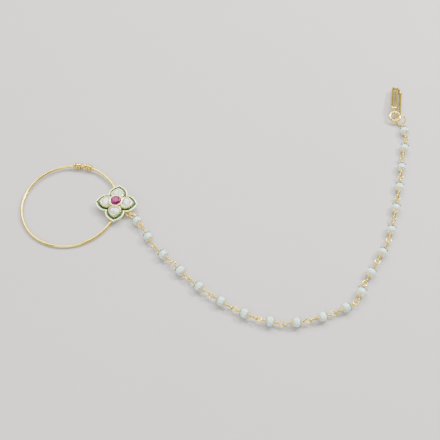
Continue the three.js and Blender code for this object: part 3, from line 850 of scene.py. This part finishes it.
def bezel_mesh(bm, matrix, flower):
    """The centre stone's bezel: a tapering wall whose lip is burnished over the stone."""
    inner = flower.centre_d / 2 + flower.seat_gap
    outer = inner + flower.bezel_wall
    top = flower.bezel_height
    foot = flower.floor / 2
    lip, middle_flare, foot_flare = 0.18 * MM, 0.04 * MM, 0.1 * MM
    profile = [(0, foot), (outer + foot_flare, foot), (outer + middle_flare, top - 3 * lip),
               (outer, top - 1.2 * lip), (outer - 0.3 * lip, top - 0.4 * lip), (outer - lip, top),
               (inner + 0.1 * lip, top - 0.1 * lip), (inner - 0.35 * lip, top - 0.7 * lip),
               (inner, top - 1.4 * lip), (inner, flower.bezel_seat), (0, flower.bezel_seat)]
    lathed(bm, matrix, profile, 72)


def chain_eye_mesh(bm, chain, flower_centre):
    """The eye that holds the chain: it lies level and its tail runs under the flower."""
    to_eye = overreach(chain.ring_wire, chain.eye_wire, chain.ring_gap)
    tail = 3 * MM
    radius = (chain.eye - chain.eye_wire) / 2
    _, eye_joint = small_ring_places()
    inward = Vector((flower_centre.x, flower_centre.y, eye_joint.z))
    basis = frame_along(inward, eye_joint)
    outward = basis.col[0].to_3d()
    matrix = route_frame() @ placed(basis, eye_joint + outward * (to_eye - radius))
    wire_ring(bm, matrix, chain.eye, chain.eye_wire)
    bent_wire(bm, [matrix @ Vector((x - radius, 0, 0)) for x in (-tail, -tail / 2, 0)], chain.eye_wire)


def enamel_mesh(bm, matrix, flower):
    """The enamel in the channel between rim and collar."""
    air, sag = 0.01 * MM, 0.08 * MM
    top = flower.rim_height - flower.enamel_below
    low = flower.floor + 2 * air
    outer = flower.rim_wall + air
    width = flower.enamel_width - 2 * air
    rows = [(outer, low), (outer, top)]
    rows += [(outer + width * k / 6, top - sag * math.sin(math.pi * k / 6)) for k in range(1, 6)]
    rows += [(outer + width, top), (outer + width, low)]
    lofted(bm, flower_rows(matrix, flower, rows), joined=True)


# Stones

# How a stone is cut: its pavilion's end, its girdle's lower edge, its girdle, its star facets and its
# table, each as a share of the stone's outline
PETAL_CUT = (0.5, 0.97, 1, 0.84, 0.56)
CENTRE_CUT = (0.4, 0.98, 0.99, 0.84, 0.56)

# Height of the star facets' outer corners, as a share of the crown's
STAR_RISE = 0.62

# Least and most painted light of a facet in the table, and of any other facet
TABLE_LIGHT = (0.15, 1.0)
SIDE_LIGHT = (0.0, 0.9)


def cut_stone_mesh(bm, matrix, fine, cut, heights, seed):
    """A cut stone with two rows of crown facets, and a painted light for each facet, drawn at random.

    The heights are those of the pavilion's end, the girdle's lower edge, the girdle and the table.
    """
    outline, between = fine[0::2], fine[1::2]
    centre = middle_of(outline)
    *below, girdle, top = heights
    levels = (*below, girdle, girdle + STAR_RISE * (top - girdle), top)
    rings = (outline, outline, outline, between, outline)
    lofted(bm, [[matrix @ p for p in lifted([centre + (q - centre) * scale for q in ring], height)]
                for ring, scale, height in zip(rings, cut, levels)])
    sides = [face for face in bm.faces if len(face.verts) == 4]
    bmesh.ops.triangulate(bm, faces=sides, quad_method="SHORT_EDGE")
    upright = matrix.inverted()
    table = max(bm.faces, key=lambda face: (upright @ face.calc_center_median()).z)
    table_facets = set(bmesh.ops.poke(bm, faces=[table])["faces"])
    # Painted light: a random brightness for each facet, which the stone's colour ramp turns into painted
    # shade, reflections or glints
    light = bm.faces.layers.float.new(FACET_LIGHT)
    draw = random.Random(seed)
    for face in bm.faces:
        face[light] = draw.uniform(*(TABLE_LIGHT if face in table_facets else SIDE_LIGHT))


def petal_stone_mesh(bm, matrix, flower, petal):
    """One drop-shaped stone, whose table stands above its collar."""
    fine = drop_outline(flower, 0)
    girdle = collar_top(flower, fine[0].x) - flower.seat_gap
    table = collar_top(flower, middle_of(fine[0::2]).x) + flower.stone_proud
    turned = matrix @ Matrix.Rotation(petal / PETALS * math.tau, 4, "Z")
    heights = (flower.floor + flower.seat_gap, girdle - 0.12 * MM, girdle, table)
    cut_stone_mesh(bm, turned, fine, PETAL_CUT, heights, petal)


def centre_stone_mesh(bm, matrix, flower):
    """The round centre stone, whose girdle is held below the bezel's lip."""
    radius = flower.centre_d / 2
    steps = 24
    fine = [Vector((radius * math.cos(a), radius * math.sin(a)))
            for a in (k / steps * math.tau for k in range(steps))]
    girdle = flower.bezel_height - 2 * flower.seat_gap - 0.12 * MM
    table = flower.bezel_height + flower.centre_proud
    heights = (flower.bezel_seat + flower.seat_gap, girdle - 0.1 * MM, girdle, table)
    cut_stone_mesh(bm, matrix, fine, CENTRE_CUT, heights, PETALS)


# Chain

def bead_mesh(bm, matrix, chain, seed):
    """A drilled bead, ground round by hand: slightly uneven, with softened edges round its bore."""
    edge_width, edge_depth = 0.08 * MM, 0.1 * MM
    feature, taken, given, most = 1.6 * MM, 0.018, 0.03, 0.3
    radius = chain.bead / 2
    bore = chain.bore / 2
    edge = math.asin((bore + edge_width) / radius)
    bands = 20
    slopes = [edge + (math.pi - 2 * edge) * k / bands for k in range(bands + 1)]
    profile = [(radius * math.sin(a), -radius * math.cos(a)) for a in slopes]
    inner = radius * math.cos(edge) - edge_depth
    profile += [(bore, inner), (bore, -inner), profile[0]]
    lathed(bm, matrix, profile, 40)
    bmesh.ops.remove_doubles(bm, verts=bm.verts, dist=WELD)
    centre = matrix.translation
    for vert in bm.verts:
        way = vert.co - centre
        uneven = noise.noise(way / feature + Vector((seed * 7.3, 0, 0)))
        vert.co = centre + way * (1 - taken + given * min(uneven, most))


def cap_mesh(bm, matrix, chain):
    """One petalled cap that hugs the bead: thin, dished, with a raised rib along each petal."""
    air, rib_height, thinning, bluntness = 0.03 * MM, 0.05 * MM, 0.35, 0.75
    collar_wire, collar_wider = 0.34 * MM, 0.3 * MM
    inner = chain.bead / 2 + air
    around = 10 * chain.cap_petals
    bands = 8
    top_rows = []
    low_rows = []
    for k in range(bands, 0, -1):
        out = k / bands
        high, low = [], []
        for i in range(around):
            a = i / around * math.tau
            petal = abs(math.cos(chain.cap_petals * a / 2)) ** bluntness
            reach = (chain.cap_notch + (chain.cap_reach - chain.cap_notch) * petal) * out
            rib = rib_height * petal * math.sin(math.pi * out)
            thick = chain.cap_thick * (1 - thinning * out) + rib
            flare = chain.cap_flare * petal * out ** 2
            for row, radius in ((high, inner + thick + flare), (low, inner + flare)):
                row.append(matrix @ Vector((radius * math.sin(reach) * math.cos(a),
                                            radius * math.sin(reach) * math.sin(a),
                                            radius * math.cos(reach))))
        top_rows.append(high)
        low_rows.append(low)
    lofted(bm, low_rows[::-1] + top_rows)
    neck = matrix @ Matrix.Translation((0, 0, inner + 0.6 * chain.cap_thick))
    wire_ring(bm, neck, chain.neck + collar_wider, collar_wire, steps=30, sides=10)


def cap_pair_mesh(bm, matrix, chain):
    """Both caps of one bead, each with one petal straight up."""
    for side in (-1, 1):
        outward = matrix @ Matrix.Rotation(side * math.pi / 2, 4, "Y")
        upright = Matrix.Rotation((1 + side) / 2 * math.pi, 4, "Z")
        cap_mesh(bm, outward @ upright, chain)


def wrapped_neck(bm, matrix, chain, side, start, end):
    """Fine wire wound closely round a link's wire, from its cap to its loop, where there is room."""
    sink, pitch, steps_per_turn = 0.03 * MM, 1.05, 14
    fine = (chain.neck - chain.wire) / 2 + sink
    radius = (chain.neck - fine) / 2
    turns = (end - start - fine) / (pitch * fine)
    if turns < 1:
        return
    steps = round(turns * steps_per_turn)
    line = []
    for k in range(steps + 1):
        a = k / steps * turns * math.tau
        along = start + fine / 2 + k / steps * (end - start - fine)
        line.append(matrix @ Vector((side * along, radius * math.cos(a), radius * math.sin(a))))
    bent_wire(bm, line, fine, sides=8, tip_rows=2)


def link_mesh(bm, matrix, chain, half, ends):
    """One bead's wire link: the wire through the bead and, at each end, a neck and a bent loop."""
    radius = (chain.loop - chain.wire) / 2
    seam_angle, wrap_room, steps = 0.16, 0.2 * MM, 40
    necks = []
    for side, (roll, beyond) in zip((-1, 1), ends):
        centre = side * (half + beyond - radius)
        turned = matrix @ Matrix.Rotation(roll, 4, "X")
        neck = Vector((centre - side * radius, 0, 0))
        line = []
        for k in range(steps + 1):
            a = (math.tau - seam_angle) * k / steps
            line.append(turned @ Vector((centre - side * radius * math.cos(a), radius * math.sin(a), 0)))
        bent_wire(bm, line, chain.wire, sides=14, tip_rows=3)
        necks.append(turned @ neck)
        wrapped_neck(bm, matrix, chain, side, chain.bead / 2 + chain.cap_thick, abs(neck.x) - wrap_room)
    bent_wire(bm, [necks[0].lerp(necks[1], k / 6) for k in range(7)], chain.wire, sides=14, tip_rows=2)


# Hook

def hook_line(hook, whole, tilted):
    """The doubled wire's line: up the back, over the fold, down the front, round the tip and back."""
    radius = (hook.eye - hook.wire) / 2
    right = hook.eye_inset - radius
    left = right + hook.pair_pitch
    rise = hook.wire + hook.fold_gap
    bend_steps, straight_step = 14, 1.2 * MM
    shares = [k / bend_steps for k in range(bend_steps + 1)]
    to_whole = whole.inverted() @ tilted

    def on_eye(y):
        return to_whole @ Vector((math.sqrt(radius ** 2 - y ** 2), y, 0))

    def fold(y, order):
        return [Vector((hook.length + rise / 2 * math.sin(s * math.pi), y + hook.fold_shift * s,
                        rise / 2 * (1 - math.cos(s * math.pi)))) for s in order]

    middle = (right + left) / 2 + hook.fold_shift
    half = hook.pair_pitch / 2
    tip = [Vector((hook.tip - half * math.sin(s * math.pi), middle - half * math.cos(s * math.pi), rise))
           for s in shares]
    line = [on_eye(right)]
    for stretch in (fold(right, shares), tip, fold(left, shares[::-1]), [on_eye(left)]):
        start = line[-1]
        steps = max(1, int((stretch[0] - start).length / straight_step))
        line += [start.lerp(stretch[0], k / steps) for k in range(1, steps)]
        line += stretch
    return line


def hook_mesh(bm, hook, whole, tilted):
    """The hook's eye and its folded wire."""
    wire_ring(bm, tilted, hook.eye, hook.wire, steps=64, sides=22)
    bent_wire(bm, [whole @ p for p in hook_line(hook, whole, tilted)], hook.wire, sides=22)


# Operators

class NATH_OT_hoop(bpy.types.Operator):
    """Make the wire hoop with its two wound ends"""

    bl_idname = "nath.hoop"
    bl_label = "Hoop"

    def execute(self, context):
        hoop = context.scene.nath_hoop
        finished_piece("hoop_wire", "gold", SETTING_NODES, hoop_mesh, hoop_frame(), hoop, crease=60)
        return {"FINISHED"}


class NATH_OT_setting(bpy.types.Operator):
    """Make the flower's cup, its stone collars, the bezel and the eye for the chain"""

    bl_idname = "nath.setting"
    bl_label = "Flower setting"

    def execute(self, context):
        flower = context.scene.nath_flower
        matrix = flower_frame()
        for name, make, crease in (("flower_cup", cup_mesh, 35), ("stone_collar", collars_mesh, 50),
                                   ("centre_bezel", bezel_mesh, 50)):
            finished_piece(name, "gold", SETTING_NODES, make, matrix, flower, crease=crease, surface="foil")
        centre = route_frame().inverted() @ matrix.translation
        finished_piece("chain_eye", "gold", SETTING_NODES, chain_eye_mesh, context.scene.nath_chain, centre,
                       crease=60)
        return {"FINISHED"}


class NATH_OT_enamel(bpy.types.Operator):
    """Make the enamel between the flower's rim and its collars"""

    bl_idname = "nath.enamel"
    bl_label = "Enamel"

    def execute(self, context):
        finished_piece("green_enamel", "enamel", ["enamel_border"], enamel_mesh, flower_frame(),
                       context.scene.nath_flower, crease=50)
        return {"FINISHED"}


class NATH_OT_stones(bpy.types.Operator):
    """Make the four petal stones and the centre stone"""

    bl_idname = "nath.stones"
    bl_label = "Stones"

    def execute(self, context):
        flower = context.scene.nath_flower
        matrix = flower_frame()
        for petal in range(PETALS):
            name = f"petal_stone_{petal + 1}"
            finished_piece(f"white_{name}", "clear_stone", [name], petal_stone_mesh, matrix, flower, petal,
                           crease=4)
        finished_piece("red_centre_stone", "ruby", ["centre_stone"], centre_stone_mesh, matrix, flower,
                       crease=4)
        return {"FINISHED"}


class NATH_OT_chain(bpy.types.Operator):
    """Make the 20 beads, each on its own wire link with a petalled cap at both ends"""

    bl_idname = "nath.chain"
    bl_label = "Beads and links"

    def execute(self, context):
        chain = context.scene.nath_chain
        hook = context.scene.nath_hook
        joints = chain_joints()
        beyond = [overreach(chain.wire, chain.wire, chain.gap)] * len(joints)
        beyond[0] = overreach(chain.ring_wire, chain.wire, chain.ring_gap)
        beyond[-1] = overreach(hook.ring_wire, chain.wire, hook.ring_gap)
        for number in range(1, BEADS + 1):
            start, end = joints[number - 1], joints[number]
            matrix = route_frame() @ placed(frame_along(start, end), (start + end) / 2)
            along_z = matrix @ Matrix.Rotation(math.pi / 2, 4, "Y")
            rolls = (CHAIN_ROUTE[number - 1][3], CHAIN_ROUTE[number][2])
            ends = list(zip(map(math.radians, rolls), beyond[number - 1:number + 1]))
            label = f"{number:02d}"
            link = [f"bead_link_{label}"]
            finished_piece(f"round_bead_{label}", "bead", [f"bead_{label}"], bead_mesh, along_z, chain,
                           number)
            finished_piece(f"wire_link_{label}", "gold", link, link_mesh, matrix, chain,
                           (end - start).length / 2, ends, crease=50)
            finished_piece(f"cap_pair_{label}", "gold", link, cap_pair_mesh, matrix, chain, surface="cap")
        return {"FINISHED"}


class NATH_OT_rings(bpy.types.Operator):
    """Make the two jump rings at the ends of the chain"""

    bl_idname = "nath.rings"
    bl_label = "Jump rings"

    def execute(self, context):
        chain = context.scene.nath_chain
        hook = context.scene.nath_hook
        centre, eye_joint = small_ring_places()
        small = placed(frame_along(eye_joint, chain_joints()[0], math.pi / 2), centre)
        large = placed(frame_along(Vector(), heading(hook.ring_turn), hook.ring_lean), large_ring_centre())
        for name, node, matrix, sizes in (("small_ring", "flower_jump_ring", small, chain),
                                          ("large_ring", "hook_jump_ring", large, hook)):
            finished_piece(name, "gold", [node], wire_ring, route_frame() @ matrix, sizes.ring,
                           sizes.ring_wire, crease=60)
        return {"FINISHED"}


class NATH_OT_hook(bpy.types.Operator):
    """Make the folded wire hook that holds in the hair"""

    bl_idname = "nath.hook"
    bl_label = "Hair hook"

    def execute(self, context):
        finished_piece("folded_hook", "gold", ["hair_hook"], hook_mesh, context.scene.nath_hook,
                       *hook_frames(), crease=60)
        return {"FINISHED"}


class NATH_OT_stage(bpy.types.Operator):
    """Make the pale floor, the soft light and the camera"""

    bl_idname = "nath.stage"
    bl_label = "Stage"

    def execute(self, context):
        pale_stage(context.scene)
        return {"FINISHED"}


# The photograph's camera looks down on the route's origin, which is in the middle of its frame
CAMERA_DISTANCE = 261.2 * MM
CAMERA_ELEVATION = math.radians(57.95)
FOCAL_LENGTH_PX = 626
IMAGE_PX = 440
SENSOR_MM = 36

# Half the floor's width, in metres: wide enough that a low view meets no corner of it
FLOOR_HALF = 8

# Columns: name, place in m, width and height in m, watts, colour
LAMPS = (
    ("key_light", (0.42, 0.20, 0.42), (0.12, 0.12), 3.8, (1.0, 0.98, 0.95)),
    ("back_softbox", (0.05, 0.42, 0.60), (1.10, 0.46), 12.5, (1.0, 0.99, 0.96)),
    ("front_softbox", (-0.12, -0.46, 0.42), (0.50, 0.50), 2.4, (1.0, 1.0, 0.98)),
    ("fill_light", (-0.55, -0.10, 0.40), (0.40, 0.40), 1.0, (0.95, 0.97, 1.0)),
)


def pale_stage(scene):
    """Floor, lamps, sky and camera."""
    bm = bmesh.new()
    bmesh.ops.create_grid(bm, x_segments=1, y_segments=1, size=FLOOR_HALF)
    floor = new_object("floor", bm, "floor")

    for name, place, sides, watts, light_colour in LAMPS:
        lamp = bpy.data.lights.new(name, "AREA")
        lamp.shape = "ELLIPSE"
        lamp.size, lamp.size_y = sides
        lamp.energy = watts
        lamp.color = light_colour
        holder = bpy.data.objects.new(name, lamp)
        holder.location = place
        holder.rotation_euler = (-Vector(place)).to_track_quat("-Z", "Y").to_euler()
        scene.collection.objects.link(holder)

    world = bpy.data.worlds.new("studio")
    world.use_nodes = True
    sky = next(n for n in world.node_tree.nodes if n.type == "BACKGROUND")
    sky.inputs["Color"].default_value = (0.8, 0.84, 0.9, 1.0)
    sky.inputs["Strength"].default_value = 0.6
    scene.world = world

    lens = bpy.data.cameras.new("camera")
    lens.sensor_width = SENSOR_MM
    lens.lens = FOCAL_LENGTH_PX / IMAGE_PX * SENSOR_MM
    lens.clip_start = 0.01
    camera = bpy.data.objects.new("camera", lens)
    target = route_frame().translation
    away = Vector((0, -math.cos(CAMERA_ELEVATION), math.sin(CAMERA_ELEVATION)))
    camera.location = target + away * CAMERA_DISTANCE
    camera.rotation_euler = (math.pi / 2 - CAMERA_ELEVATION, 0, 0)
    scene.collection.objects.link(camera)
    scene.camera = camera


class NATH_PT_panel(bpy.types.Panel):
    """Lists the jewel's pieces and their sizes"""

    bl_idname = "NATH_PT_panel"
    bl_label = "Nath Nose Ring"
    bl_space_type = "VIEW_3D"
    bl_region_type = "UI"
    bl_category = "Nath"

    def draw(self, context):
        column = self.layout.column()
        for operator in OPERATORS:
            column.operator(operator.bl_idname)
        for name, group in SETTINGS:
            box = self.layout.box()
            box.label(text=name.replace("_", " "))
            for prop in group.__annotations__:
                box.prop(getattr(context.scene, name), prop)


OPERATORS = (
    NATH_OT_stage,
    NATH_OT_hoop,
    NATH_OT_setting,
    NATH_OT_enamel,
    NATH_OT_stones,
    NATH_OT_chain,
    NATH_OT_rings,
    NATH_OT_hook,
)


def register():
    """Registers the settings, the operators and the panel."""
    for name, group in SETTINGS:
        bpy.utils.register_class(group)
        setattr(bpy.types.Scene, name, PointerProperty(type=group))
    for made in (*OPERATORS, NATH_PT_panel):
        bpy.utils.register_class(made)


def unregister():
    """Takes back what register did."""
    for made in reversed((*OPERATORS, NATH_PT_panel)):
        bpy.utils.unregister_class(made)
    for name, group in reversed(SETTINGS):
        delattr(bpy.types.Scene, name)
        bpy.utils.unregister_class(group)


def main():
    """Makes every piece."""
    register()
    for operator in OPERATORS:
        group, name = operator.bl_idname.split(".")
        getattr(getattr(bpy.ops, group), name)()


if __name__ == "__main__":
    main()
